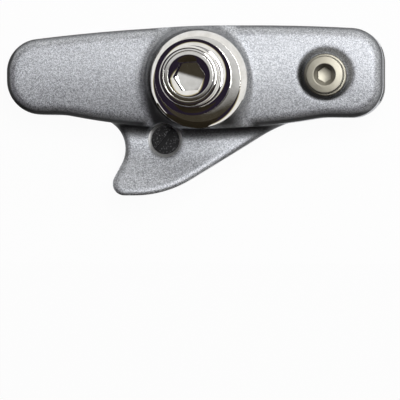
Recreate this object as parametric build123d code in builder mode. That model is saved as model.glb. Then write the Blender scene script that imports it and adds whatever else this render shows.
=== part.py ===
import os
from math import cos, radians, sqrt

from build123d import *

# A cartridge brake shoe for a bicycle rim brake. All sizes are in millimetres.
# The mounting bolt stands on the Z axis, and Z 0 is the face of the washer that the caliper arm seats on.
# X runs along the shoe to its open end, Y points away from the hub, and the friction face looks down.

# Heights of the stack, from the friction face up to the arm's seat
pad_height = 5.6            # rubber from the friction face to the holder's rim
holder_depth = 6.4          # holder from its rim to the crest of its back
boss_height = 1.8           # boss above that crest
arm_washer_thickness = 3.0

# Plan of the shoe, which follows the rim
shoe_left = -27.9           # closed end
shoe_right = 26.7           # open end, where the insert slides in
crest_x = 7.2               # highest point of the upper edge
crest_y = 7.6
upper_edge_radius = 256.0
lower_edge_left_y = -5.15
lower_edge_right_y = -5.75
open_end_radius = 4.6
closed_end_upper_radius = 4.8
closed_end_lower_radius = 4.9

# Holder
back_crown_radius = 34.0
back_crown_y = 2.0          # line of the crown's crest
back_edge_chamfer = 0.9
back_edge_ease = 0.3        # second chamfer, where the first one meets the crown
shoulder_left_x = -19.5     # shoulder along the lower edge, above the fin
shoulder_right_x = 18.0
shoulder_mid_x = 1.5
shoulder_y = -7.25
shoulder_blend_radius = 14.0
boss_radius = 7.2
boss_edge_chamfer = 0.2
boss_foot_radius = 1.9
boss_foot_slope = 32.0      # the foot runs out at this angle, so that it dips into the crowned back
boss_foot_sink = 0.1
boss_skirt_length = 4.0     # hidden run of the foot inside the back

# Channel for the insert's rail
channel_y = 0.6
channel_end_wall = 7.4      # solid metal between the channel and the closed end
neck_width = 5.4
rail_width = 7.8
lip_thickness = 1.1
rail_height = 2.3
channel_corner_radius = 1.5
rail_clearance = 0.1

# Guide fin, in plan
notch_corner = (-8.7, -6.8)
tip_corner = (-13.6, -16.95)
heel_corner = (-5.0, -16.95)
tail_corner = (12.7, -5.9)
tail_end_x = 19.5
notch_radius = 4.8
tip_radius = 1.8
heel_radius = 14.9
tail_radius = 21.0

# Guide fin, in section
fin_root_depth = 0.5        # its plan starts this far inside the holder's wall
fin_thickness = 1.8
fin_edge_chamfer = 0.5
flare_offset = 0.3          # it bends away from the wheel from this far outside the shoulder
flare_radius = 12.0
flare_angle = 23.0
flare_length = 8.0          # straight part past the bend
cove_radius = 0.9           # hollow between the shoulder and the fin
cove_lap = 0.03             # how far the cove starts inside the shoulder's wall

# Flat land on the fin's pad side, level with the rim, under the screw head
land_proud = 0.6
land_left_x = -13.2
land_left_middle = (-9.7, -7.9)
land_right_x = 10.4
land_right_middle = (1.9, -8.5)
land_boss_radius = 3.6
land_boss_left = 220.0      # where the land's sides meet its round end
land_boss_right = 300.0
land_cover = 0.3            # fin left over the land's core

# Insert
insert_inset = 0.3          # rubber inside the holder's outline
upper_bevel_width = 0.9
upper_bevel_depth = 1.5
lower_bevel_width = 2.2
lower_bevel_depth = 2.0
groove_width = 1.2
groove_depth = 2.6
groove_pitch = 12.35
groove_count = 3
groove_middle_x = -0.6

# Mounting bolt and its washers
bolt_diameter = 6.0
bolt_end_chamfer = 0.6
bolt_head_diameter = 8.6
bolt_head_height = 3.8
bolt_head_chamfer = 0.5
bolt_socket = 4.0           # across the flats
bolt_socket_depth = 3.0
bolt_socket_mouth = 6.0     # diameter of its countersink
bolt_socket_bevel = 0.55    # depth of its countersink
bolt_socket_point = 0.5     # depth of the drill's cone in its floor
bolt_socket_turn = 3.0
arm_washer_diameter = 14.0
arm_washer_bevel = 0.9
arm_washer_play = 0.95      # radial room round the bolt
arm_washer_drift_turn = -25.0
bolt_washer_diameter = 11.0
bolt_washer_rim = 0.7
bolt_washer_hub = 1.7
bolt_washer_hub_diameter = 8.9
washer_clearance = 0.2
thread_clearance = 0.05

# Retaining screw
retaining_x = 18.5
retaining_y = 0.4
retaining_diameter = 3.0
retaining_head_diameter = 5.5
retaining_head_height = 1.6
retaining_head_chamfer = 0.35
retaining_socket = 2.0
retaining_socket_depth = 1.3
retaining_socket_mouth = 3.2
retaining_socket_bevel = 0.35
retaining_socket_point = 0.35
retaining_socket_turn = 32.0
retaining_washer_diameter = 6.2
retaining_washer_thickness = 0.5
retaining_seat_margin = 0.15
retaining_seat_depth = 0.5  # at the lower side of the crowned back
retaining_seat_draft = 1.0  # how far its wall leans out for each millimetre of height
retaining_reach = 1.5       # length of its tip in the insert's rail
retaining_pocket_clearance = 0.2

# Fin screw
fin_screw_x = -5.1
fin_screw_y = -8.9
fin_screw_diameter = 4.0
fin_screw_head_diameter = 6.2
fin_screw_head_height = 2.2
fin_screw_head_edge = 0.8   # straight side below the dome
fin_screw_slot_width = 0.7
fin_screw_slot_depth = 1.1
fin_screw_slot_angle = 10.0
fin_screw_end_proud = 0.2
fin_screw_end_slot_angle = 52.0
fin_screw_end_slot_width = 0.6
fin_screw_end_slot_depth = 0.5
fin_screw_face_margin = 0.45  # spot face round its end
fin_screw_face_sink = 0.1

# Levels and places that follow from the sizes above
boss_z = -arm_washer_thickness
back_z = boss_z - boss_height
rim_z = back_z - holder_depth
friction_z = rim_z - pad_height
lip_z = rim_z + lip_thickness
ceiling_z = lip_z + rail_height
fin_pad_z = rim_z + land_proud
fin_back_z = fin_pad_z + fin_thickness
flare_start_y = shoulder_y - flare_offset
head_z = bolt_washer_hub
head_top_z = head_z + bolt_head_height
shoe_length = shoe_right - shoe_left
channel_left = shoe_left + channel_end_wall
channel_length = shoe_right - channel_left
fin_screw_axis = Vector(fin_screw_x, fin_screw_y)


def upper_edge_y(x):
    centre_y = crest_y - upper_edge_radius
    return centre_y + sqrt(upper_edge_radius**2 - (x - crest_x) ** 2)


def lower_edge_y(x):
    share = (x - shoe_left) / shoe_length
    return lower_edge_left_y + share * (lower_edge_right_y - lower_edge_left_y)


def back_surface_z(y):
    return back_z - back_crown_radius + sqrt(back_crown_radius**2 - (y - back_crown_y) ** 2)


def fin_surface_z(y):
    return fin_back_z + flare_radius - sqrt(flare_radius**2 - (y - flare_start_y) ** 2)


def corner(sketch, point):
    return sketch.vertices().sort_by_distance(point)[0]


def cut_hex_socket(top, across, depth, mouth, bevel, point, turn):
    above = (Align.CENTER, Align.CENTER, Align.MAX)
    with BuildSketch(Plane(top)) as hexagon:
        RegularPolygon(across / 2, 6, major_radius=False, rotation=turn)
    extrude(hexagon.sketch, amount=-depth, mode=Mode.SUBTRACT)
    with Locations(top):
        Cone(across / 2, mouth / 2, bevel, align=above, mode=Mode.SUBTRACT)
    with Locations(top - Vector(0, 0, depth)):
        Cone(0, across / 2, point, align=above, mode=Mode.SUBTRACT)


os.makedirs("parts", exist_ok=True)

# Plan of the channel part of the shoe
upper_left = (shoe_left, upper_edge_y(shoe_left))
upper_right = (shoe_right, upper_edge_y(shoe_right))
lower_right = (shoe_right, lower_edge_right_y)
lower_left = (shoe_left, lower_edge_left_y)

with BuildSketch() as shoe_plan:
    with BuildLine():
        ThreePointArc(upper_left, (crest_x, crest_y), upper_right)
        Polyline(upper_right, lower_right, lower_left, upper_left)
    make_face()
    fillet(corner(shoe_plan, upper_right), open_end_radius)
    fillet(corner(shoe_plan, lower_right), open_end_radius)
    fillet(corner(shoe_plan, upper_left), closed_end_upper_radius)
    fillet(corner(shoe_plan, lower_left), closed_end_lower_radius)

# Plan of the holder's back, with the shoulder along its lower edge
shoulder_left = (shoulder_left_x, lower_edge_y(shoulder_left_x))
shoulder_right = (shoulder_right_x, lower_edge_y(shoulder_right_x))

with BuildSketch() as back_plan:
    add(shoe_plan.sketch)
    with BuildLine():
        shoulder_arc = ThreePointArc(shoulder_left, (shoulder_mid_x, shoulder_y), shoulder_right)
        Line(shoulder_right, shoulder_left)
    make_face()
    fillet(corner(back_plan, shoulder_left), shoulder_blend_radius)
    fillet(corner(back_plan, shoulder_right), shoulder_blend_radius)

shoulder_axis = Axis(shoulder_arc.arc_center, (0, 0, 1))

# Plan of the fin, which starts inside the channel's lower wall
fin_left = (shoulder_left_x, lower_edge_y(shoulder_left_x) + fin_root_depth)
fin_right = (tail_end_x, lower_edge_y(tail_end_x) + fin_root_depth)

with BuildSketch() as fin_plan:
    with BuildLine():
        Polyline(
            fin_left,
            notch_corner,
            tip_corner,
            heel_corner,
            tail_corner,
            fin_right,
            (tail_end_x, channel_y),
            (shoulder_left_x, channel_y),
            close=True,
        )
    make_face()
    fillet(corner(fin_plan, notch_corner), notch_radius)
    fillet(corner(fin_plan, tip_corner), tip_radius)
    fillet(corner(fin_plan, heel_corner), heel_radius)
    fillet(corner(fin_plan, tail_corner), tail_radius)

# Fin: a bent band that runs parallel to the shoulder, with the cove at its root, cut to its plan
bend = Vector(flare_start_y, fin_back_z + flare_radius)
flare_end = 270 - flare_angle
flare_direction = Vector(-1, 0).rotate(Axis.Z, -flare_angle)
cove_y = shoulder_y - cove_radius + cove_lap
cove_z = bend.Y - sqrt((flare_radius - cove_radius) ** 2 - (cove_y - bend.X) ** 2)
cove = Vector(cove_y, cove_z)
cove_start = (cove_y + cove_radius, cove_z)
cove_middle = cove + Vector(1, -1).normalized() * cove_radius
cove_end = bend + (cove - bend) * flare_radius / (flare_radius - cove_radius)

with BuildPart() as guide_fin:
    with BuildSketch(Plane.YZ.offset(shoulder_axis.position.X)):
        with BuildLine():
            pad_arc = CenterArc(bend, flare_radius + fin_thickness, flare_end, flare_angle)
            pad_tip = pad_arc @ 0 + flare_direction * flare_length
            back_arc_end = bend + (pad_arc @ 0 - bend).normalized() * flare_radius
            back_tip = back_arc_end + flare_direction * flare_length
            ThreePointArc(cove_start, cove_middle, cove_end)
            RadiusArc(cove_end, back_arc_end, flare_radius)
            Polyline(back_arc_end, back_tip, pad_tip, pad_arc @ 0)
            Polyline(pad_arc @ 1, (channel_y, fin_pad_z), (channel_y, cove_z), cove_start)
        make_face()
    revolve(axis=shoulder_axis)
    with BuildSketch(Plane.XY.offset(friction_z)):
        add(fin_plan.sketch)
    extrude(amount=-friction_z, mode=Mode.INTERSECT)
    back_faces = guide_fin.faces().filter_by(lambda face: face.normal_at().Z > 0.5)
    side_faces = guide_fin.faces().filter_by(lambda face: abs(face.normal_at().Z) < 0.01)
    outline = back_faces.edges() & side_faces.edges()
    chamfer(outline.filter_by(lambda edge: edge.center().Y < shoulder_y), fin_edge_chamfer)

# Boss: a turned pillar whose hollow foot dips into the back, cut to the back's plan
foot_sweep = 90 - boss_foot_slope
foot_rise = boss_foot_radius * cos(radians(boss_foot_slope))
foot_centre = (boss_radius + boss_foot_radius, back_z - boss_foot_sink + foot_rise)

with BuildPart() as boss:
    with BuildSketch(Plane.XZ):
        with BuildLine():
            foot = CenterArc(foot_centre, boss_foot_radius, 180, foot_sweep)
            skirt = PolarLine(foot @ 1, boss_skirt_length, -boss_foot_slope)
            Polyline(skirt @ 1, (0, (skirt @ 1).Y), (0, boss_z), (boss_radius, boss_z), foot @ 0)
        profile = make_face()
        chamfer(profile.vertices().sort_by_distance((boss_radius, boss_z))[0], boss_edge_chamfer)
    revolve(axis=Axis.Z)
    with BuildSketch(Plane.XY.offset(ceiling_z)):
        add(back_plan.sketch)
    extrude(amount=boss_z - ceiling_z, mode=Mode.INTERSECT)

# Holder: one casting
land_left = (land_left_x, lower_edge_y(land_left_x))
land_right = (land_right_x, lower_edge_y(land_right_x))
land_foot_left = fin_screw_axis + Vector(land_boss_radius, 0).rotate(Axis.Z, land_boss_left)
land_foot_right = fin_screw_axis + Vector(land_boss_radius, 0).rotate(Axis.Z, land_boss_right)
retaining_seat = retaining_washer_diameter / 2 + retaining_seat_margin
retaining_seat_z = back_surface_z(retaining_y - retaining_seat) - retaining_seat_depth
fin_face_z = fin_surface_z(fin_screw_y) - fin_screw_face_sink

with BuildPart() as shoe_holder:
    with BuildSketch(Plane.XY.offset(rim_z)):
        add(shoe_plan.sketch)
    extrude(amount=holder_depth)
    with BuildSketch(Plane.XY.offset(fin_pad_z)):
        add(back_plan.sketch)
    extrude(amount=back_z - fin_pad_z)
    with BuildSketch(Plane.YZ.offset(shoe_left)):
        with Locations((back_crown_y, back_z - back_crown_radius)):
            Circle(back_crown_radius)
    extrude(amount=shoe_length, mode=Mode.INTERSECT)
    for size in (back_edge_chamfer, back_edge_ease):
        chamfer(shoe_holder.faces().sort_by(Axis.Z)[-1].edges(), size)

    # Seat of the retaining screw
    with Locations((retaining_x, retaining_y, retaining_seat_z)):
        Cone(
            retaining_seat,
            retaining_seat - retaining_seat_draft * retaining_seat_z,
            -retaining_seat_z,
            align=(Align.CENTER, Align.CENTER, Align.MIN),
            mode=Mode.SUBTRACT,
        )

    add(guide_fin.part)
    add(boss.part)

    # Land under the fin screw's head
    with BuildSketch(Plane.XY.offset(rim_z)):
        with BuildLine():
            ThreePointArc(land_left, land_left_middle, land_foot_left)
            Line(land_foot_left, land_foot_right)
            ThreePointArc(land_foot_right, land_right_middle, land_right)
            Line(land_right, land_left)
        make_face()
        with Locations(fin_screw_axis):
            Circle(land_boss_radius)
    extrude(amount=land_proud + fin_thickness - land_cover)

    # Channel, open at the right end and at the rim
    for level, width, height in ((rim_z, neck_width, lip_thickness), (lip_z, rail_width, rail_height)):
        with BuildSketch(Plane.XY.offset(level)):
            with Locations((channel_left, channel_y)):
                slot = Rectangle(channel_length, width, align=(Align.MIN, Align.CENTER))
            fillet(slot.vertices().group_by(Axis.X)[0], channel_corner_radius)
        extrude(amount=height, mode=Mode.SUBTRACT)

    # Screw holes, two of them down into the channel
    with Locations((0, 0, boss_z)):
        Hole(bolt_diameter / 2 + thread_clearance, depth=boss_z - lip_z)
    with Locations((retaining_x, retaining_y, retaining_seat_z)):
        Hole(retaining_diameter / 2 + thread_clearance, depth=retaining_seat_z - lip_z)
    with Locations((fin_screw_x, fin_screw_y, back_z)):
        CounterBoreHole(
            radius=fin_screw_diameter / 2 + thread_clearance,
            counter_bore_radius=fin_screw_diameter / 2 + fin_screw_face_margin,
            counter_bore_depth=back_z - fin_face_z,
        )

shoe_holder.part.label = "shoe_holder"
export_step(shoe_holder.part, "parts/shoe_holder.step")

# Insert: one rubber moulding
edge_slope = Vector(shoe_length, lower_edge_right_y - lower_edge_left_y).normalized()
lower_edge_plane = Plane(
    origin=(shoe_left, lower_edge_left_y, friction_z),
    x_dir=edge_slope.rotate(Axis.Z, 90),
    z_dir=edge_slope,
)
upper_edge_axis = Axis((crest_x, crest_y - upper_edge_radius, 0), (0, 0, 1))
upper_wall_y = crest_y - insert_inset
bevel_top_z = friction_z + upper_bevel_depth
rail_left = channel_left + rail_clearance

with BuildSketch() as insert_plan:
    add(shoe_plan.sketch)
    offset(amount=-insert_inset)

with BuildPart() as pad_insert:
    with BuildSketch(Plane.XY.offset(friction_z)):
        add(insert_plan.sketch)
    extrude(amount=pad_height)

    # Bevel along the lower edge
    with BuildSketch(lower_edge_plane):
        with BuildLine():
            Polyline(
                (0, 0),
                (insert_inset + lower_bevel_width, 0),
                (insert_inset, lower_bevel_depth),
                (0, lower_bevel_depth),
                close=True,
            )
        make_face()
    extrude(amount=shoe_length, mode=Mode.SUBTRACT)

    # Bevel along the upper edge, which follows its arc
    with BuildSketch(Plane.YZ.offset(crest_x)):
        with BuildLine():
            Polyline(
                (crest_y, friction_z),
                (upper_wall_y - upper_bevel_width, friction_z),
                (upper_wall_y, bevel_top_z),
                (crest_y, bevel_top_z),
                close=True,
            )
        make_face()
    revolve(axis=upper_edge_axis, mode=Mode.SUBTRACT)

    # Cross grooves, through both long sides
    with BuildSketch(Plane.XY.offset(friction_z)):
        with Locations((groove_middle_x, channel_y)):
            with GridLocations(groove_pitch, 0, groove_count, 1):
                Rectangle(groove_width, 2 * (crest_y - lower_edge_right_y))
    extrude(amount=groove_depth, mode=Mode.SUBTRACT)

    # Rail for the channel
    for level, top, width in (
        (rim_z, lip_z + rail_clearance, neck_width),
        (lip_z + rail_clearance, ceiling_z - rail_clearance, rail_width),
    ):
        with BuildSketch(Plane.XY.offset(level)):
            with Locations((rail_left, channel_y)):
                rail = Rectangle(channel_length, width - 2 * rail_clearance, align=(Align.MIN, Align.CENTER))
            fillet(rail.vertices().group_by(Axis.X)[0], channel_corner_radius)
            add(insert_plan.sketch, mode=Mode.INTERSECT)
        extrude(amount=top - level)

    # Pocket for the tip of the retaining screw
    with Locations((retaining_x, retaining_y, ceiling_z)):
        Hole(
            retaining_diameter / 2 + retaining_pocket_clearance,
            depth=retaining_reach + retaining_pocket_clearance,
        )

pad_insert.part.label = "pad_insert"
export_step(pad_insert.part, "parts/pad_insert.step")

# Thick washer on the boss, off centre by most of its play
arm_washer_bore = bolt_diameter / 2 + arm_washer_play
arm_washer_axis = Vector(arm_washer_play - washer_clearance, 0).rotate(Axis.Z, arm_washer_drift_turn)

with BuildPart() as arm_washer:
    with BuildSketch(Plane.XY.offset(boss_z)):
        with Locations(arm_washer_axis):
            Circle(arm_washer_diameter / 2)
            Circle(arm_washer_bore, mode=Mode.SUBTRACT)
    extrude(amount=arm_washer_thickness)
    chamfer(arm_washer.edges().group_by(Axis.Z)[-1].sort_by(SortBy.LENGTH)[-1], arm_washer_bevel)

arm_washer.part.label = "arm_washer"
export_step(arm_washer.part, "parts/arm_washer.step")

# Coned washer under the bolt's head
with BuildPart() as bolt_washer:
    with BuildSketch(Plane.XZ):
        with BuildLine():
            rim_top = (bolt_washer_diameter / 2, bolt_washer_rim)
            hub_top = (bolt_washer_hub_diameter / 2, bolt_washer_hub)
            rim_foot = (bolt_washer_diameter / 2, 0)
            bore = bolt_diameter / 2 + washer_clearance
            Polyline(rim_top, hub_top, (bore, bolt_washer_hub), (bore, 0), rim_foot, close=True)
        make_face()
    revolve(axis=Axis.Z)

bolt_washer.part.label = "bolt_washer"
export_step(bolt_washer.part, "parts/bolt_washer.step")

# Mounting bolt
with BuildPart() as mounting_bolt:
    with BuildSketch(Plane.XY.offset(ceiling_z)):
        Circle(bolt_diameter / 2)
    extrude(amount=head_z - ceiling_z)
    chamfer(mounting_bolt.edges().group_by(Axis.Z)[0], bolt_end_chamfer)
    with BuildSketch(Plane.XY.offset(head_z)):
        Circle(bolt_head_diameter / 2)
    extrude(amount=bolt_head_height)
    chamfer(mounting_bolt.edges().group_by(Axis.Z)[-1], bolt_head_chamfer)
    cut_hex_socket(
        Vector(0, 0, head_top_z),
        bolt_socket,
        bolt_socket_depth,
        bolt_socket_mouth,
        bolt_socket_bevel,
        bolt_socket_point,
        bolt_socket_turn,
    )

mounting_bolt.part.label = "mounting_bolt"
export_step(mounting_bolt.part, "parts/mounting_bolt.step")

# Washer of the retaining screw
retaining_head_z = retaining_seat_z + retaining_washer_thickness
retaining_top_z = retaining_head_z + retaining_head_height

with BuildPart() as retaining_washer:
    with BuildSketch(Plane.XY.offset(retaining_seat_z)):
        with Locations((retaining_x, retaining_y)):
            Circle(retaining_washer_diameter / 2)
            Circle(retaining_diameter / 2 + washer_clearance, mode=Mode.SUBTRACT)
    extrude(amount=retaining_washer_thickness)

retaining_washer.part.label = "retaining_washer"
export_step(retaining_washer.part, "parts/retaining_washer.step")

# Retaining screw, whose tip locks the insert's rail
with BuildPart() as retaining_screw:
    with BuildSketch(Plane.XY.offset(ceiling_z - retaining_reach)):
        with Locations((retaining_x, retaining_y)):
            Circle(retaining_diameter / 2)
    extrude(amount=retaining_head_z - ceiling_z + retaining_reach)
    with BuildSketch(Plane.XY.offset(retaining_head_z)):
        with Locations((retaining_x, retaining_y)):
            Circle(retaining_head_diameter / 2)
    extrude(amount=retaining_head_height)
    chamfer(retaining_screw.edges().group_by(Axis.Z)[-1], retaining_head_chamfer)
    cut_hex_socket(
        Vector(retaining_x, retaining_y, retaining_top_z),
        retaining_socket,
        retaining_socket_depth,
        retaining_socket_mouth,
        retaining_socket_bevel,
        retaining_socket_point,
        retaining_socket_turn,
    )

retaining_screw.part.label = "retaining_screw"
export_step(retaining_screw.part, "parts/retaining_screw.step")

# Fin screw: domed slotted head on the land, slotted end at the fin's back
fin_screw_end_z = fin_face_z + fin_screw_end_proud
fin_screw_plane = Plane(origin=(fin_screw_x, fin_screw_y, rim_z), x_dir=(1, 0, 0), z_dir=(0, -1, 0))
dome_edge = (fin_screw_head_diameter / 2, -fin_screw_head_edge)
dome_top = (0, -fin_screw_head_height)
dome_rise = fin_screw_head_height - fin_screw_head_edge
dome_radius = (dome_edge[0] ** 2 + dome_rise**2) / (2 * dome_rise)

with BuildPart() as fin_screw:
    with BuildSketch(fin_screw_plane):
        with BuildLine():
            RadiusArc(dome_top, dome_edge, -dome_radius)
            Polyline(
                dome_edge,
                (dome_edge[0], 0),
                (fin_screw_diameter / 2, 0),
                (fin_screw_diameter / 2, fin_screw_end_z - rim_z),
                (0, fin_screw_end_z - rim_z),
                dome_top,
            )
        make_face()
    revolve(axis=Axis(fin_screw_plane.origin, (0, 0, 1)))
    with BuildSketch(Plane.XY.offset(rim_z - fin_screw_head_height)):
        with Locations(fin_screw_axis):
            Rectangle(fin_screw_head_diameter, fin_screw_slot_width, rotation=fin_screw_slot_angle)
    extrude(amount=fin_screw_slot_depth, mode=Mode.SUBTRACT)
    with BuildSketch(Plane.XY.offset(fin_screw_end_z)):
        with Locations(fin_screw_axis):
            Rectangle(fin_screw_diameter, fin_screw_end_slot_width, rotation=fin_screw_end_slot_angle)
    extrude(amount=-fin_screw_end_slot_depth, mode=Mode.SUBTRACT)

fin_screw.part.label = "fin_screw"
export_step(fin_screw.part, "parts/fin_screw.step")
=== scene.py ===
from math import asin, atan2, cos, degrees, pi, radians, sin, sqrt, tan, tau
from types import SimpleNamespace

import bmesh
import bpy
from mathutils import Matrix, Quaternion, Vector


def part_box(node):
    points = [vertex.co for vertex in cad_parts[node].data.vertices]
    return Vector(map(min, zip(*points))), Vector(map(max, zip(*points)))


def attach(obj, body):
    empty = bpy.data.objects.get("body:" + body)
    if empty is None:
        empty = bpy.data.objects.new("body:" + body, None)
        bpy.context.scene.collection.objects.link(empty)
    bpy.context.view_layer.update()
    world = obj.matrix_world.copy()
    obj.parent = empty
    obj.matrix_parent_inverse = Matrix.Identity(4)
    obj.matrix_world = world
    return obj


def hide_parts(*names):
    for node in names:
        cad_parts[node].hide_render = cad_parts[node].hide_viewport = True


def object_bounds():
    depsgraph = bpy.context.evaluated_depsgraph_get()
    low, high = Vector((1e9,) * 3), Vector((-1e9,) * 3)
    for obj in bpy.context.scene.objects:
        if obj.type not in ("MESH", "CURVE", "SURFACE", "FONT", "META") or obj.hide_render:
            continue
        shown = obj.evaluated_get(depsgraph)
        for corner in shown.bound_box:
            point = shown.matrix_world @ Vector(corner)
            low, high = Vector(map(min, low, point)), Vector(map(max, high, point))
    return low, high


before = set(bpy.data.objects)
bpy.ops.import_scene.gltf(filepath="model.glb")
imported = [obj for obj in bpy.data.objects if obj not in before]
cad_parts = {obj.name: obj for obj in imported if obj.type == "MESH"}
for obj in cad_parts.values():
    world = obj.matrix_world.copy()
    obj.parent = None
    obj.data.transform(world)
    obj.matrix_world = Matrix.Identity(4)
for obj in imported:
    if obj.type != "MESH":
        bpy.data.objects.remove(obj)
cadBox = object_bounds()
scene = bpy.context.scene
scene.view_settings.view_transform = "Standard"
mm = 0.001
weldGap = 1e-7     # metres, points nearer than this become one
print("frame loaded:", ", ".join(sorted(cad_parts)))


class Shade:
    # wraps one socket of a node tree, so that shader maths reads as a sum
    def __init__(self, tree, socket=None):
        self.tree = tree
        self.socket = socket

    def node(self, kind, settings=None, sockets=None, output=0):
        made = self.tree.nodes.new(kind)
        for name, value in (settings or {}).items():
            if name == "stops":  # of a colour ramp: (place, colour) pairs
                elements = made.color_ramp.elements
                while len(elements) < len(value):
                    elements.new(1.0)
                for element, (place, colour) in zip(elements, value):
                    element.position = place
                    element.color = colour
            else:
                setattr(made, name, value)
        for name, value in (sockets or {}).items():
            if isinstance(value, Shade):
                self.tree.links.new(value.socket, made.inputs[name])
            else:
                made.inputs[name].default_value = value
        return Shade(self.tree, made.outputs[output] if made.outputs else None)

    def other(self, output):
        # another output of the same node
        return Shade(self.tree, self.socket.node.outputs[output])

    def maths(self, operation, first, second=0.0):
        return self.node("ShaderNodeMath", {"operation": operation}, {0: first, 1: second})

    def __add__(self, other):
        return self.maths("ADD", self, other)

    def __sub__(self, other):
        return self.maths("SUBTRACT", self, other)

    def __rsub__(self, other):
        return self.maths("SUBTRACT", other, self)

    def __mul__(self, other):
        return self.maths("MULTIPLY", self, other)

    def __truediv__(self, other):
        return self.maths("DIVIDE", self, other)

    def __pow__(self, other):
        return self.maths("POWER", self, other)

    __radd__ = __add__
    __rmul__ = __mul__

    def clamped(self, low, high):
        # 0 at low, 1 at high, smooth between
        sockets = {"Value": self, "From Min": low, "From Max": high}
        return self.node("ShaderNodeMapRange", {"interpolation_type": "SMOOTHSTEP"}, sockets)


def startFinish(name):
    material = bpy.data.materials.new(name)
    material.use_nodes = True
    material.node_tree.nodes.clear()
    return material, Shade(material.node_tree)


def closeFinish(shade, constants, varying):
    # constants go straight on the shader's sockets, varying ones are links
    surface = shade.node("ShaderNodeBsdfPrincipled", {}, {**constants, **varying})
    shade.node("ShaderNodeOutputMaterial", {}, {"Surface": surface})


def mixColours(shade, share, first, second):
    return shade.node("ShaderNodeMix", {"data_type": "RGBA"}, {0: share, 6: first, 7: second}, 2)


def addVectors(shade, first, second):
    return shade.node("ShaderNodeVectorMath", {"operation": "ADD"}, {0: first, 1: second})


def threeParts(shade, vector):
    x = shade.node("ShaderNodeSeparateXYZ", {}, {0: vector}, "X")
    return x, x.other("Y"), x.other("Z")


def noise(shade, place, scale, detail, rough):
    sockets = {"Vector": place, "Scale": scale, "Detail": detail, "Roughness": rough}
    return shade.node("ShaderNodeTexNoise", {}, sockets, "Fac")


def wornNormal(shade, radius, samples):
    # the normal as if edges were rounded off
    return shade.node("ShaderNodeBevel", {"samples": samples}, {"Radius": radius * mm}, "Normal")


def bumpSkin(shade, finish, height, sockets=None):
    depth = {"Strength": finish["bump"], "Distance": finish["bumpDepth"] * mm, "Height": height}
    return shade.node("ShaderNodeBump", {}, {**depth, **(sockets or {})}, "Normal")


def dress(node, material):
    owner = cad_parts[node]
    owner.data.materials.clear()
    owner.data.materials.append(material)


def sizesOf(node):
    # a turned node's axis, radius, and lowest and highest level, in millimetres
    low, high = (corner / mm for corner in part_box(node))
    middle = (low + high) / 2
    return (middle.x, middle.y), (high.x - low.x) / 2, low.z, high.z


# Camera, over the shoe's back and a little towards its open end, in millimetres and degrees
cameraSetup = {
    "target": (0.3, -17.6, -6.0),
    "side": 6.5,
    "lean": 0.5,
    "distance": 500.0,
    "pictureWidth": 57.8,
    "sensor": 36.0,
    "nearest": 10.0,
}


def placeCamera():
    side, lean = (tan(radians(cameraSetup[name])) for name in ("side", "lean"))
    away = Vector((side, lean, 1.0)).normalized()
    data = bpy.data.cameras.new("camera")
    data.sensor_width = cameraSetup["sensor"]
    data.lens = cameraSetup["sensor"] * cameraSetup["distance"] / cameraSetup["pictureWidth"]
    data.clip_start = cameraSetup["nearest"] * mm
    camera = bpy.data.objects.new("camera", data)
    camera.location = (Vector(cameraSetup["target"]) + away * cameraSetup["distance"]) * mm
    right = Vector((0, 1, 0)).cross(away).normalized()
    camera.rotation_euler = Matrix((right, away.cross(right), away)).transposed().to_euler()
    scene.collection.objects.link(camera)
    scene.camera = camera


placeCamera()
print("camera placed")

# Studio: a pale floor, a soft lamp nearly overhead, and a room with white walls under a dim ceiling.
# Lengths are in metres, and heights in the room are the upright part of a direction.
studio = {
    "floorSize": 1.2,
    "floorGap": 0.00002,         # keeps the paper clear of the friction face
    "floorColour": (0.9, 0.9, 0.9, 1.0),
    "floorWhite": (1.0, 1.0, 1.0, 1.0),
    "floorGlow": 0.96,           # share of plain white that the lens sees, the rest takes the shadow
    "lampFrom": (0.071, 0.053, 0.30),
    "lampSize": (0.163, 0.086),
    "lampTurn": -32.0,
    "lampPower": 0.545,
    "wallSide": (0.6, 0.8),      # the walls stand higher on this side
    "wallTop": 0.24,
    "wallSwing": 0.42,
    "wallFade": 0.16,
    "wallStops": (
        (0.0, (1.0, 0.99, 0.97, 1.0)),
        (0.4, (0.55, 0.48, 0.28, 1.0)),
        (0.65, (0.11, 0.095, 0.06, 1.0)),
        (1.0, (0.022, 0.016, 0.03, 1.0)),
    ),
    "ceilingRise": (0.90, 0.965),
    "ceilingDark": (0.055, 0.047, 0.033, 1.0),
    "ceilingLight": (0.75, 0.75, 0.75, 1.0),
    "ceilingTurn": (-0.05, 0.025),
    "ceilingSkew": 0.3,
    "flags": (                   # dark boards, hidden from the lens and without shadow: centre, size, lean
        ((0.0, -0.038, -0.0115), (0.11, 0.022, 0.0106), 0.0),
        ((-0.036, 0.0, -0.0141), (0.01, 0.05, 0.0054), 0.0),
        ((-0.012, -0.062, 0.022), (0.076, 0.004, 0.078), 0.65),
    ),
    "flagColour": (0.035, 0.028, 0.018, 1.0),
}


def putOnStage(name, form, material):
    mesh = bpy.data.meshes.new(name)
    form.to_mesh(mesh)
    form.free()
    mesh.materials.append(material)
    thing = bpy.data.objects.new(name, mesh)
    scene.collection.objects.link(thing)
    return thing


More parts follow.
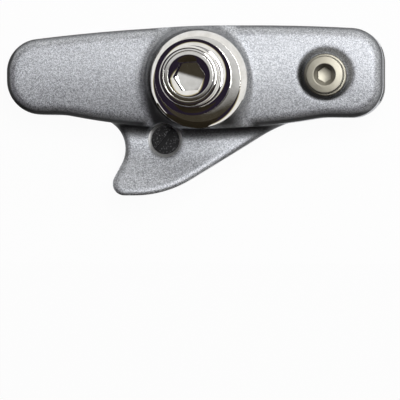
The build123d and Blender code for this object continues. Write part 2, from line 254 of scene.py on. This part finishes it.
def makeFloorPaper():
    material, shade = startFinish("floorPaper")
    path = shade.node("ShaderNodeLightPath", output="Is Camera Ray")
    seen = path + path.other("Is Glossy Ray") + path.other("Is Transmission Ray")
    share = shade.maths("MINIMUM", seen, 1.0) * studio["floorGlow"]
    paper = shade.node("ShaderNodeBsdfDiffuse", {}, {"Color": studio["floorColour"]})
    white = shade.node("ShaderNodeEmission", {}, {"Color": studio["floorWhite"], "Strength": 1.0})
    both = shade.node("ShaderNodeMixShader", {}, {0: share, 1: paper, 2: white})
    under = shade.node("ShaderNodeNewGeometry", output="Backfacing")     # the floor is clear from below
    clear = shade.node("ShaderNodeBsdfTransparent")
    sheet = shade.node("ShaderNodeMixShader", {}, {0: under, 1: both, 2: clear})
    shade.node("ShaderNodeOutputMaterial", {}, {"Surface": sheet})
    return material


def layFloor():
    form = bmesh.new()
    bmesh.ops.create_grid(form, x_segments=1, y_segments=1, size=studio["floorSize"] / 2)
    bmesh.ops.translate(form, verts=form.verts, vec=(0, 0, cadBox[0][2] - studio["floorGap"]))
    putOnStage("floor", form, makeFloorPaper())


def standFlags():
    material, shade = startFinish("flagCloth")
    cloth = shade.node("ShaderNodeBsdfDiffuse", {}, {"Color": studio["flagColour"]})
    shade.node("ShaderNodeOutputMaterial", {}, {"Surface": cloth})
    form = bmesh.new()
    for centre, size, lean in studio["flags"]:
        made = bmesh.ops.create_cube(form, size=1.0)["verts"]
        bmesh.ops.scale(form, verts=made, vec=size)
        bmesh.ops.transform(form, verts=made, matrix=Matrix.Shear("XY", 4, (lean, 0.0)))
        bmesh.ops.translate(form, verts=made, vec=centre)
    flags = putOnStage("flags", form, material)
    flags.visible_camera = False
    flags.visible_shadow = False


def hangLamp():
    data = bpy.data.lights.new("lamp", "AREA")
    data.shape = "ELLIPSE"
    data.size, data.size_y = studio["lampSize"]
    data.energy = studio["lampPower"]
    lamp = bpy.data.objects.new("lamp", data)
    lamp.location = studio["lampFrom"]
    lamp.rotation_mode = "QUATERNION"
    turn = Quaternion((0, 0, 1), radians(studio["lampTurn"]))
    lamp.rotation_quaternion = Vector(studio["lampFrom"]).to_track_quat("Z", "Y") @ turn
    scene.collection.objects.link(lamp)


def paintRoom():
    world = bpy.data.worlds.new("room")
    world.use_nodes = True
    world.node_tree.nodes.clear()
    shade = Shade(world.node_tree)
    x, y, z = threeParts(shade, shade.node("ShaderNodeTexCoord", output="Generated"))
    side = x * studio["wallSide"][0] + y * studio["wallSide"][1]
    height = (z - (studio["wallTop"] + side * studio["wallSwing"])) / studio["wallFade"]
    walls = shade.node("ShaderNodeValToRGB", {"stops": studio["wallStops"]}, {"Fac": height}, "Color")
    nearLamp = (y + x * studio["ceilingSkew"]).clamped(*studio["ceilingTurn"])
    ceiling = mixColours(shade, nearLamp, studio["ceilingDark"], studio["ceilingLight"])
    room = mixColours(shade, z.clamped(*studio["ceilingRise"]), walls, ceiling)
    air = shade.node("ShaderNodeBackground", {}, {"Color": room})
    shade.node("ShaderNodeOutputWorld", {}, {"Surface": air})
    scene.world = world


layFloor()
standFlags()
hangLamp()
paintRoom()
print("studio ready")

# Holder: silver paint with fine flakes over a cast skin, with painted shade where it turns down or sits in a
# corner.
# Lengths are in millimetres, and a pair gives the values from which and up to which a shade comes in.
holderPaint = {
    "light": (0.86, 0.88, 0.915, 1.0),
    "dark": (0.30, 0.315, 0.345, 1.0),
    # painted shade for the edges and the boss's skirt
    "edge": (0.075, 0.076, 0.079, 1.0),
    # painted shade for the fin's root and hollows
    "corner": (0.03, 0.03, 0.03, 1.0),
    "bare": (0.80, 0.80, 0.79, 1.0),
    "flakeScale": 10000.0,
    "grainNoise": (6000.0, 2.0, 0.6),
    "flakeShare": 0.88,              # of the speckle, the rest is grain
    "speckle": (0.02, 0.98),
    "metallic": 0.85,
    "roughness": 0.54,
    "roughChange": 0.14,
    "coat": 0.08,
    "coatRoughness": 0.3,
    "wornRadius": 1.1,
    "samples": 12,
    "flakeHeight": 0.6,              # share of the bump, the rest is grain
    "bump": 0.18,
    "bumpDepth": 0.04,
    "crown": {                       # arc across the back
        "radius": 34.0,
        "level": -4.8,
        "line": 2.0,
        "longEnd": (4.0, -4.0),      # along x, the end that looks fuller than the arc
        "fullness": 0.009,           # lean of its normal for each millimetre off the line
    },
    "finLine": (-7.8, -6.4),         # along y, from the fin to the shoe
    "edges": {                       # painted shade along the back's edges
        "depth": 1.1,                # fall under the crown at which it is darkest
        "change": 0.55,              # how much less on the sides away from the lamp
        "lampSide": (0.8, 0.6),
        "away": (0.0, -0.35),
        "foot": (0.04, 0.2),         # upright part of the normal, where it comes in above the walls
        "brow": (0.74, 0.95),        # and where it goes out on the back
        "finShare": 0.4,             # the fin's edges have less of it
    },
    "boss": {                        # painted shade on the skirt of the bolt's boss, heaviest towards the fin
        "fall": (-0.05, -0.5),       # below zero, so it stands over the crown
        "shaded": (-0.1, -0.4),      # y part of the normal, on the side towards the fin
        "allRound": 0.58,            # share that the other sides have too
        "openEnd": (4.5, 7.5),       # along x, where it fades
        "openFade": 0.8,
    },
    "root": {                        # shade where the fin leaves the shoe
        "fall": (0.8, 1.6),
        "line": (-9.0, -7.2),
        "upright": (0.1, 0.4),
        "start": (-5.0, -6.0),
        "dark": 0.7,
    },
    "corners": {                     # painted shade in hollows, from occlusion leaned towards the lamp
        "reach": 2.3,
        "lean": (0.3, 0.4, 0.0),     # hollows that are shut towards the lamp count for more
        "open": (0.56, 0.93),        # share of open air, from dark to clean
        "finLine": (-8.5, -10.0),
        "finShadeLift": 0.16,            # how much less the fin has
    },
    "seat": {                        # round the retaining screw, where the painted shade is lighter, more so on the lamp side
        "radius": 4.4,
        "fade": 1.15,
        "clear": 0.1,
        "lampSide": (0.6, 0.8),
        "lit": (-3.0, 3.5),
        "litShadeLift": 0.26,
    },
    "face": {                        # turned face round the end of the fin screw, which is bare
        "radius": 2.55,
        "inside": 0.96,
        "outside": (1.05, 1.25),
        "flat": (0.8, 0.95),
    },
}


def squaredAway(x, y, middle):
    return (x - middle[0]) ** 2.0 + (y - middle[1]) ** 2.0


def surveyHolder(shade):
    # what the paint goes by: place, worn normal, fall under the crown, and masks of the casting's parts
    crown, edges, seat, face = (holderPaint[name] for name in ("crown", "edges", "seat", "face"))
    spot = SimpleNamespace()
    spot.place = shade.node("ShaderNodeTexCoord", output="Object")
    spot.x, spot.y, z = (part / mm for part in threeParts(shade, spot.place))
    spot.worn = wornNormal(shade, holderPaint["wornRadius"], holderPaint["samples"])
    spot.wornX, spot.wornY, spot.upright = threeParts(shade, spot.worn)
    spot.across = spot.y - crown["line"]
    arc = (crown["radius"] ** 2 - spot.across * spot.across) ** 0.5
    spot.fall = arc + (crown["level"] - crown["radius"]) - z
    spot.body = spot.y.clamped(*holderPaint["finLine"])     # 1 on the shoe, 0 on its fin
    side = edges["lampSide"]
    spot.hidden = (spot.wornX * side[0] + spot.wornY * side[1]).clamped(*edges["away"])
    spot.seatMiddle = sizesOf("retaining_screw")[0]
    seatAway = squaredAway(spot.x, spot.y, spot.seatMiddle)
    spot.offSeat = seatAway.clamped(seat["radius"] ** 2, (seat["radius"] * seat["fade"]) ** 2)
    spot.faceAway = squaredAway(spot.x, spot.y, sizesOf("fin_screw")[0])
    offFace = spot.faceAway.clamped(*((face["radius"] * share) ** 2 for share in face["outside"]))
    spot.plain = spot.offSeat * offFace
    return spot


# paints shade along the back's edges and on the boss's skirt, and deeper shade where the fin leaves the shoe
def paintEdgeShade(shade, spot, tone):
    edges, boss, root = (holderPaint[name] for name in ("edges", "boss", "root"))
    depth = edges["depth"] - spot.hidden * edges["change"]
    slope = spot.upright.clamped(*edges["foot"]) * (1.0 - spot.upright.clamped(*edges["brow"]))
    rim = spot.fall.clamped(0.0, depth) * slope * spot.plain
    rim = rim * (edges["finShare"] + spot.body * (1 - edges["finShare"]))
    # painted shade on the boss's skirt
    skirt = spot.fall.clamped(*boss["fall"]) * (1.0 - spot.x.clamped(*boss["openEnd"]) * boss["openFade"])
    shaded = spot.wornY.clamped(*boss["shaded"])
    skirt = skirt * spot.body * (boss["allRound"] + shaded * (1 - boss["allRound"]))
    tone = mixColours(shade, rim + skirt, tone, holderPaint["edge"])
    under = spot.fall.clamped(*root["fall"]) * spot.y.clamped(*root["line"])
    under = under * spot.upright.clamped(*root["upright"])
    under = under * shade.maths("MAXIMUM", spot.hidden, spot.y.clamped(*root["start"]))
    return mixColours(shade, under * spot.plain * root["dark"], tone, holderPaint["corner"])


# paints shade into hollows from occlusion leaned towards the lamp, lighter on the fin and round the
# retaining screw
def paintHollowShade(shade, spot, tone):
    corners, seat = holderPaint["corners"], holderPaint["seat"]
    lean = addVectors(shade, spot.worn, corners["lean"])
    reach = {"Distance": corners["reach"] * mm, "Normal": lean}
    air = shade.node("ShaderNodeAmbientOcclusion", {"samples": holderPaint["samples"]}, reach, "AO")
    air = air + spot.y.clamped(*corners["finLine"]) * corners["finShadeLift"]
    # less painted shade round the retaining screw, least on its lamp side
    right, back = (part - middle for part, middle in zip((spot.x, spot.y), spot.seatMiddle))
    lit = (right * seat["lampSide"][0] + back * seat["lampSide"][1]).clamped(*seat["lit"])
    air = air + (1.0 - spot.offSeat) * (seat["clear"] + lit * seat["litShadeLift"])
    return mixColours(shade, air.clamped(*corners["open"]), holderPaint["corner"], tone)


def bareFace(shade, spot, tone):
    face = holderPaint["face"]
    inside = spot.faceAway.clamped(face["radius"] ** 2, (face["radius"] * face["inside"]) ** 2)
    upright = threeParts(shade, shade.node("ShaderNodeNewGeometry", output="True Normal"))[2]
    return mixColours(shade, inside * upright.clamped(*face["flat"]), tone, holderPaint["bare"])


def fullNormal(shade, spot):
    # leans the normal on the long end, which looks fuller than the crown's arc
    crown = holderPaint["crown"]
    lean = spot.across * spot.body * spot.x.clamped(*crown["longEnd"]) * crown["fullness"]
    full = addVectors(shade, spot.worn, shade.node("ShaderNodeCombineXYZ", {}, {"Y": lean}))
    return shade.node("ShaderNodeVectorMath", {"operation": "NORMALIZE"}, {0: full})


def makeHolderPaint():
    material, shade = startFinish("holderPaint")
    spot = surveyHolder(shade)
    flakes = {"Vector": spot.place, "Scale": holderPaint["flakeScale"]}
    flake = shade.node("ShaderNodeTexVoronoi", {}, flakes, "Color")
    glint = shade.node("ShaderNodeSeparateColor", {}, {"Color": flake}, "Red")
    grain = noise(shade, spot.place, *holderPaint["grainNoise"])
    speckle = glint * holderPaint["flakeShare"] + grain * (1 - holderPaint["flakeShare"])
    share = speckle.clamped(*holderPaint["speckle"])
    tone = mixColours(shade, share, holderPaint["dark"], holderPaint["light"])
    tone = paintEdgeShade(shade, spot, tone)
    tone = paintHollowShade(shade, spot, tone)
    tone = bareFace(shade, spot, tone)
    rough = holderPaint["roughness"] + (glint - 0.5) * holderPaint["roughChange"]
    height = glint * holderPaint["flakeHeight"] + grain * (1 - holderPaint["flakeHeight"])
    skin = bumpSkin(shade, holderPaint, height, {"Normal": fullNormal(shade, spot)})
    constants = {
        "Metallic": holderPaint["metallic"],
        "Coat Weight": holderPaint["coat"],
        "Coat Roughness": holderPaint["coatRoughness"],
    }
    closeFinish(shade, constants, {"Base Color": tone, "Roughness": rough, "Normal": skin})
    return material


# Insert: moulded black rubber with a faint bloom
brakeRubber = {
    "light": (0.034, 0.034, 0.036, 1.0),
    "dark": (0.018, 0.018, 0.019, 1.0),
    "bloomNoise": (160.0, 5.0, 0.6),
    "bloom": (0.3, 0.75),
    "gritNoise": (5200.0, 3.0, 0.7),
    "roughness": 0.56,
    "bloomRough": 0.22,
    "gritRough": 0.12,
    "specular": 0.42,
    "wornRadius": 0.2,
    "samples": 6,
    "bump": 0.22,
    "bumpDepth": 0.04,
}


def makeBrakeRubber():
    material, shade = startFinish("brakeRubber")
    place = shade.node("ShaderNodeTexCoord", output="Object")
    worn = wornNormal(shade, brakeRubber["wornRadius"], brakeRubber["samples"])
    bloom = noise(shade, place, *brakeRubber["bloomNoise"])
    grit = noise(shade, place, *brakeRubber["gritNoise"])
    tone = mixColours(shade, bloom.clamped(*brakeRubber["bloom"]), brakeRubber["dark"], brakeRubber["light"])
    rough = brakeRubber["roughness"] + (bloom - 0.5) * brakeRubber["bloomRough"]
    rough = rough + (grit - 0.5) * brakeRubber["gritRough"]
    skin = bumpSkin(shade, brakeRubber, grit, {"Normal": worn})
    constants = {"Specular IOR Level": brakeRubber["specular"]}
    closeFinish(shade, constants, {"Base Color": tone, "Roughness": rough, "Normal": skin})
    return material


# Bright plating of the bolt and its washers, and warmer satin plating of the small screw and its washer,
# with a little smear on both
platedSteel = {
    "light": (0.82, 0.81, 0.79, 1.0),
    "dark": (0.70, 0.69, 0.66, 1.0),
    "roughness": 0.035,
    "smearRough": 0.05,
}
nickelSteel = {
    "light": (0.36, 0.345, 0.29, 1.0),
    "dark": (0.27, 0.255, 0.21, 1.0),
    "roughness": 0.42,
    "smearRough": 0.10,
}
platingSkin = {
    "smearNoise": (420.0, 4.0, 0.6),
    "smear": (0.3, 0.7),
    "smearClean": 0.35,
    "fineNoise": (3800.0, 2.0, 0.5),
    "bump": 0.04,
    "bumpDepth": 0.02,
}


def makePlating(name, finish):
    material, shade = startFinish(name)
    place = shade.node("ShaderNodeTexCoord", output="Object")
    smear = noise(shade, place, *platingSkin["smearNoise"])
    fine = noise(shade, place, *platingSkin["fineNoise"])
    tone = mixColours(shade, smear.clamped(*platingSkin["smear"]), finish["dark"], finish["light"])
    rough = finish["roughness"] + (smear - platingSkin["smearClean"]) * finish["smearRough"]
    skin = bumpSkin(shade, platingSkin, fine)
    closeFinish(shade, {"Metallic": 1.0}, {"Base Color": tone, "Roughness": rough, "Normal": skin})
    return material


# Fin screw: black steel with bright specks, which its slot hasn't
blackSteel = {
    "light": (0.16, 0.16, 0.165, 1.0),
    "dark": (0.006, 0.006, 0.007, 1.0),
    "bloomNoise": (900.0, 4.0, 0.6),
    "fineNoise": (4200.0, 2.0, 0.5),
    "speck": (0.55, 0.72),
    "slotReach": 0.8,
    "slotOpen": (0.6, 0.95),
    "samples": 10,
    "roughness": 0.55,
    "bloomRough": 0.2,
    "specular": 0.25,
    "bump": 0.2,
    "bumpDepth": 0.03,
}


def makeBlackSteel():
    material, shade = startFinish("blackSteel")
    place = shade.node("ShaderNodeTexCoord", output="Object")
    bloom = noise(shade, place, *blackSteel["bloomNoise"])
    fine = noise(shade, place, *blackSteel["fineNoise"])
    reach = {"Distance": blackSteel["slotReach"] * mm}
    air = shade.node("ShaderNodeAmbientOcclusion", {"samples": blackSteel["samples"]}, reach, "AO")
    speck = fine.clamped(*blackSteel["speck"]) * air.clamped(*blackSteel["slotOpen"])
    tone = mixColours(shade, speck, blackSteel["dark"], blackSteel["light"])
    rough = blackSteel["roughness"] + (bloom - 0.5) * blackSteel["bloomRough"]
    skin = bumpSkin(shade, blackSteel, fine)
    constants = {"Specular IOR Level": blackSteel["specular"]}
    closeFinish(shade, constants, {"Base Color": tone, "Roughness": rough, "Normal": skin})
    return material


boltChrome = makePlating("boltChrome", platedSteel)
nickelFinish = makePlating("nickelFinish", nickelSteel)
dress("shoe_holder", makeHolderPaint())
dress("pad_insert", makeBrakeRubber())
dress("fin_screw", makeBlackSteel())
print("finishes on")


def roundStretch(centre, radius, start, end, steps=8):
    # points of an arc in a lathe outline, with its angles in degrees
    angles = [radians(start + (end - start) * step / steps) for step in range(steps + 1)]
    return [(centre[0] + radius * cos(angle), centre[1] + radius * sin(angle)) for angle in angles]


def bulge(first, last, radius, steps=8):
    # points of an arc between two ends in a lathe outline, hollow if the radius is negative
    chord = Vector(last) - Vector(first)
    rise = sqrt(radius**2 - (chord.length / 2) ** 2)
    side = 1 if radius > 0 else -1
    centre = (Vector(first) + Vector(last)) / 2 + Vector((chord.y, -chord.x)).normalized() * rise * side
    start = atan2(first[1] - centre.y, first[0] - centre.x)
    turn = -2 * side * asin(chord.length / 2 / abs(radius))
    return roundStretch(centre, abs(radius), degrees(start), degrees(start + turn), steps)


def spinForm(outline, axis, closed, steps=120):
    # turns an outline of (radius, level) points round an upright axis
    form = bmesh.new()
    points = [form.verts.new(Vector((axis[0] + radius, axis[1], level)) * mm) for radius, level in outline]
    sides = [form.edges.new(pair) for pair in zip(points, points[1:])]
    if closed:
        sides.append(form.edges.new((points[-1], points[0])))
    middle = Vector((axis[0], axis[1], 0)) * mm
    bmesh.ops.spin(
        form, geom=points + sides, cent=middle, axis=(0, 0, 1), angle=tau, steps=steps, use_merge=True
    )
    bmesh.ops.remove_doubles(form, verts=form.verts, dist=weldGap)
    return form


def sinkSocket(form, axis, socket, top):
    # takes the open mouth of a turned head down into a six-sided socket with a coned floor
    inner = socket["acrossFlats"] / 2
    floor = top - socket["depth"]
    middle = Vector((axis[0], axis[1], 0)) * mm

    def hexRadius(angle):
        return inner / cos(angle % (pi / 3) - pi / 6)

    def mouthLevel(radius):
        return top - socket["bevel"] * (socket["mouth"] - radius) / (socket["mouth"] - inner)

    rings = (
        lambda angle: (hexRadius(angle), mouthLevel(hexRadius(angle))),
        lambda angle: (hexRadius(angle), floor),
        lambda angle: (inner * socket["floorShare"], floor),
        lambda angle: (0.0, floor - socket["point"]),
    )
    rim = [edge for edge in form.edges if edge.is_boundary]
    for ring in rings:
        made = bmesh.ops.extrude_edge_only(form, edges=rim)["geom"]
        for vert in (item for item in made if isinstance(item, bmesh.types.BMVert)):
            away = vert.co - middle
            angle = atan2(away.y, away.x)
            radius, level = ring(angle)
            vert.co = middle + Vector((radius * cos(angle), radius * sin(angle), level)) * mm
        rim = [item for item in made if isinstance(item, bmesh.types.BMEdge) and item.is_boundary]
    bmesh.ops.remove_doubles(form, verts=form.verts, dist=weldGap)
    turn = Matrix.Rotation(radians(socket["turn"]), 3, "Z")
    bmesh.ops.rotate(form, verts=form.verts, cent=middle, matrix=turn)


def easeEdges(form, width, sharp=28.0):
    # rounds every edge that folds by more than the given angle
    folds = [edge for edge in form.edges if edge.is_manifold and edge.calc_face_angle() > radians(sharp)]
    bmesh.ops.bevel(
        form,
        geom=folds,
        offset=width * mm,
        segments=2,
        profile=0.5,
        affect="EDGES",
        material=-1,
        clamp_overlap=True,
    )


def settlePiece(name, form, node, material, sharp=40.0):
    bmesh.ops.recalc_face_normals(form, faces=form.faces)
    mesh = bpy.data.meshes.new(name)
    form.to_mesh(mesh)
    form.free()
    mesh.shade_smooth()
    mesh.set_sharp_from_angle(angle=radians(sharp))
    mesh.materials.append(material)
    piece = bpy.data.objects.new(name, mesh)
    scene.collection.objects.link(piece)
    weights = piece.modifiers.new("flatFaces", "WEIGHTED_NORMAL")
    weights.keep_sharp = True
    weights.weight = 100
    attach(piece, "root")
    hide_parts(node)


# Mounting bolt: turned head with a fine line round its top, and a hex socket
boltSetup = {
    "shank": 3.0,
    "endChamfer": 0.6,
    "headHeight": 3.8,
    "headRound": 0.5,
    "roundEnd": 87.0,      # degrees, where the head's round meets its top
    "topSweep": 15.0,      # radius at which its top falls off outside the socket's mouth
    "topSupport": 0.06,    # short steps of the outline that keep the top's shading true
    "lineRadius": 3.55,
    "lineWidth": 0.07,
    "lineDepth": 0.05,
    "edge": 0.015,
    "socket": {
        "acrossFlats": 4.0,
        "depth": 3.0,
        "mouth": 3.0,
        "bevel": 0.55,
        "point": 0.5,
        "floorShare": 0.97,
        "turn": 3.0,
    },
}


def makeBolt():
    axis, head, low, top = sizesOf("mounting_bolt")
    shank = boltSetup["shank"]
    chamfer = boltSetup["endChamfer"]
    seat = top - boltSetup["headHeight"]
    bend = boltSetup["headRound"]
    line = boltSetup["lineRadius"]
    width = boltSetup["lineWidth"]
    support = boltSetup["topSupport"]
    mouth = boltSetup["socket"]["mouth"]

    def onTop(radius, below=0.0):
        return radius, top - (radius - mouth) ** 2 / (2 * boltSetup["topSweep"]) - below

    outline = [
        (0.0, low),
        (shank - chamfer, low),
        (shank, low + chamfer),
        (shank, seat),
        (head, seat),
        *roundStretch(onTop(head - bend, bend), bend, 0, boltSetup["roundEnd"]),
        onTop(line + width + support),
        onTop(line + width),
        onTop(line, boltSetup["lineDepth"]),
        onTop(line - width),
        onTop(line - width - support),
        onTop(mouth + support),
        (mouth, top),
    ]
    form = spinForm(outline, axis, False)
    sinkSocket(form, axis, boltSetup["socket"], top)
    easeEdges(form, boltSetup["edge"])
    settlePiece("mountingBolt", form, "mounting_bolt", boltChrome)


# Thick washer: its face falls off a little towards a broad, slightly full bevel
armWasherSetup = {
    "bore": 3.95,
    "faceFlat": 4.6,
    "faceDrop": 0.03,
    "faceSteps": 8,
    "faceEnd": 0.98,       # keeps the face true up to its edge
    "bevelWidth": 0.9,
    "bevelDepth": 0.86,
    "bevelRadius": 3.6,
    "edge": 0.01,
}


def makeArmWasher():
    axis, radius, low, top = sizesOf("arm_washer")
    flat = armWasherSetup["faceFlat"]
    drop = armWasherSetup["faceDrop"]
    steps = armWasherSetup["faceSteps"]
    shares = [step / steps for step in range(steps)] + [armWasherSetup["faceEnd"], 1.0]
    brow = (radius - armWasherSetup["bevelWidth"], top - drop)
    foot = (radius, top - armWasherSetup["bevelDepth"])
    outline = [
        (armWasherSetup["bore"], low),
        (armWasherSetup["bore"], top),
        *((flat + (brow[0] - flat) * share, top - drop * share**2) for share in shares),
        *bulge(brow, foot, armWasherSetup["bevelRadius"])[1:],
        (radius, low),
    ]
    form = spinForm(outline, axis, True)
    easeEdges(form, armWasherSetup["edge"])
    settlePiece("armWasher", form, "arm_washer", boltChrome)


# Washer under the head: a hollow flare from its hub to a thin rim
boltWasherSetup = {
    "bore": 3.2,
    "hub": 4.45,
    "hubSide": 0.45,
    "rim": 0.7,
    "flareRadius": 2.4,
    "flareSteps": 14,
    "edge": 0.04,
}


def makeBoltWasher():
    axis, radius, low, top = sizesOf("bolt_washer")
    hub = (boltWasherSetup["hub"], top - boltWasherSetup["hubSide"])
    rim = (radius, low + boltWasherSetup["rim"])
    outline = [
        (boltWasherSetup["bore"], low),
        (boltWasherSetup["bore"], top),
        (boltWasherSetup["hub"], top),
        *bulge(hub, rim, -boltWasherSetup["flareRadius"], boltWasherSetup["flareSteps"]),
        (radius, low),
    ]
    form = spinForm(outline, axis, True)
    easeEdges(form, boltWasherSetup["edge"])
    settlePiece("boltWasher", form, "bolt_washer", boltChrome)


# Retaining screw: a low crowned head with a small hex socket
retainingSetup = {
    "shank": 1.5,
    "headHeight": 1.6,
    "crown": 28.0,
    "crownSteps": 6,
    "headRound": 0.22,
    "edge": 0.03,
    "socket": {
        "acrossFlats": 2.0,
        "depth": 1.3,
        "mouth": 1.6,
        "bevel": 0.35,
        "point": 0.3,
        "floorShare": 0.9,
        "turn": 32.0,
    },
}


def makeRetainingScrew():
    axis, head, low, top = sizesOf("retaining_screw")
    shank = retainingSetup["shank"]
    seat = top - retainingSetup["headHeight"]
    bend = retainingSetup["headRound"]
    crown = retainingSetup["crown"]
    mouth = retainingSetup["socket"]["mouth"]
    edge = head - bend
    mouthRise, edgeRise = (sqrt(crown**2 - radius**2) for radius in (mouth, edge))
    centre = top - mouthRise     # level of the crown's centre
    outer = degrees(atan2(edgeRise, edge))
    inner = degrees(atan2(mouthRise, mouth))
    outline = [
        (0.0, low),
        (shank, low),
        (shank, seat),
        (head, seat),
        *roundStretch((edge, centre + edgeRise - bend), bend, 0, outer),
        *roundStretch((0.0, centre), crown, outer, inner, retainingSetup["crownSteps"])[1:],
    ]
    form = spinForm(outline, axis, False)
    sinkSocket(form, axis, retainingSetup["socket"], top)
    easeEdges(form, retainingSetup["edge"])
    settlePiece("retainingScrew", form, "retaining_screw", nickelFinish)


# Thin washer under the retaining screw, with a rounded rim
retainingWasherSetup = {"bore": 1.7, "round": 0.22}


def makeRetainingWasher():
    axis, radius, low, top = sizesOf("retaining_washer")
    bend = retainingWasherSetup["round"]
    outline = [
        (retainingWasherSetup["bore"], low),
        (retainingWasherSetup["bore"], top),
        *roundStretch((radius - bend, top - bend), bend, 90, 0),
        (radius, low),
    ]
    form = spinForm(outline, axis, True)
    settlePiece("retainingWasher", form, "retaining_washer", nickelFinish)


makeBolt()
makeArmWasher()
makeBoltWasher()
makeRetainingScrew()
makeRetainingWasher()
print("turned pieces made")
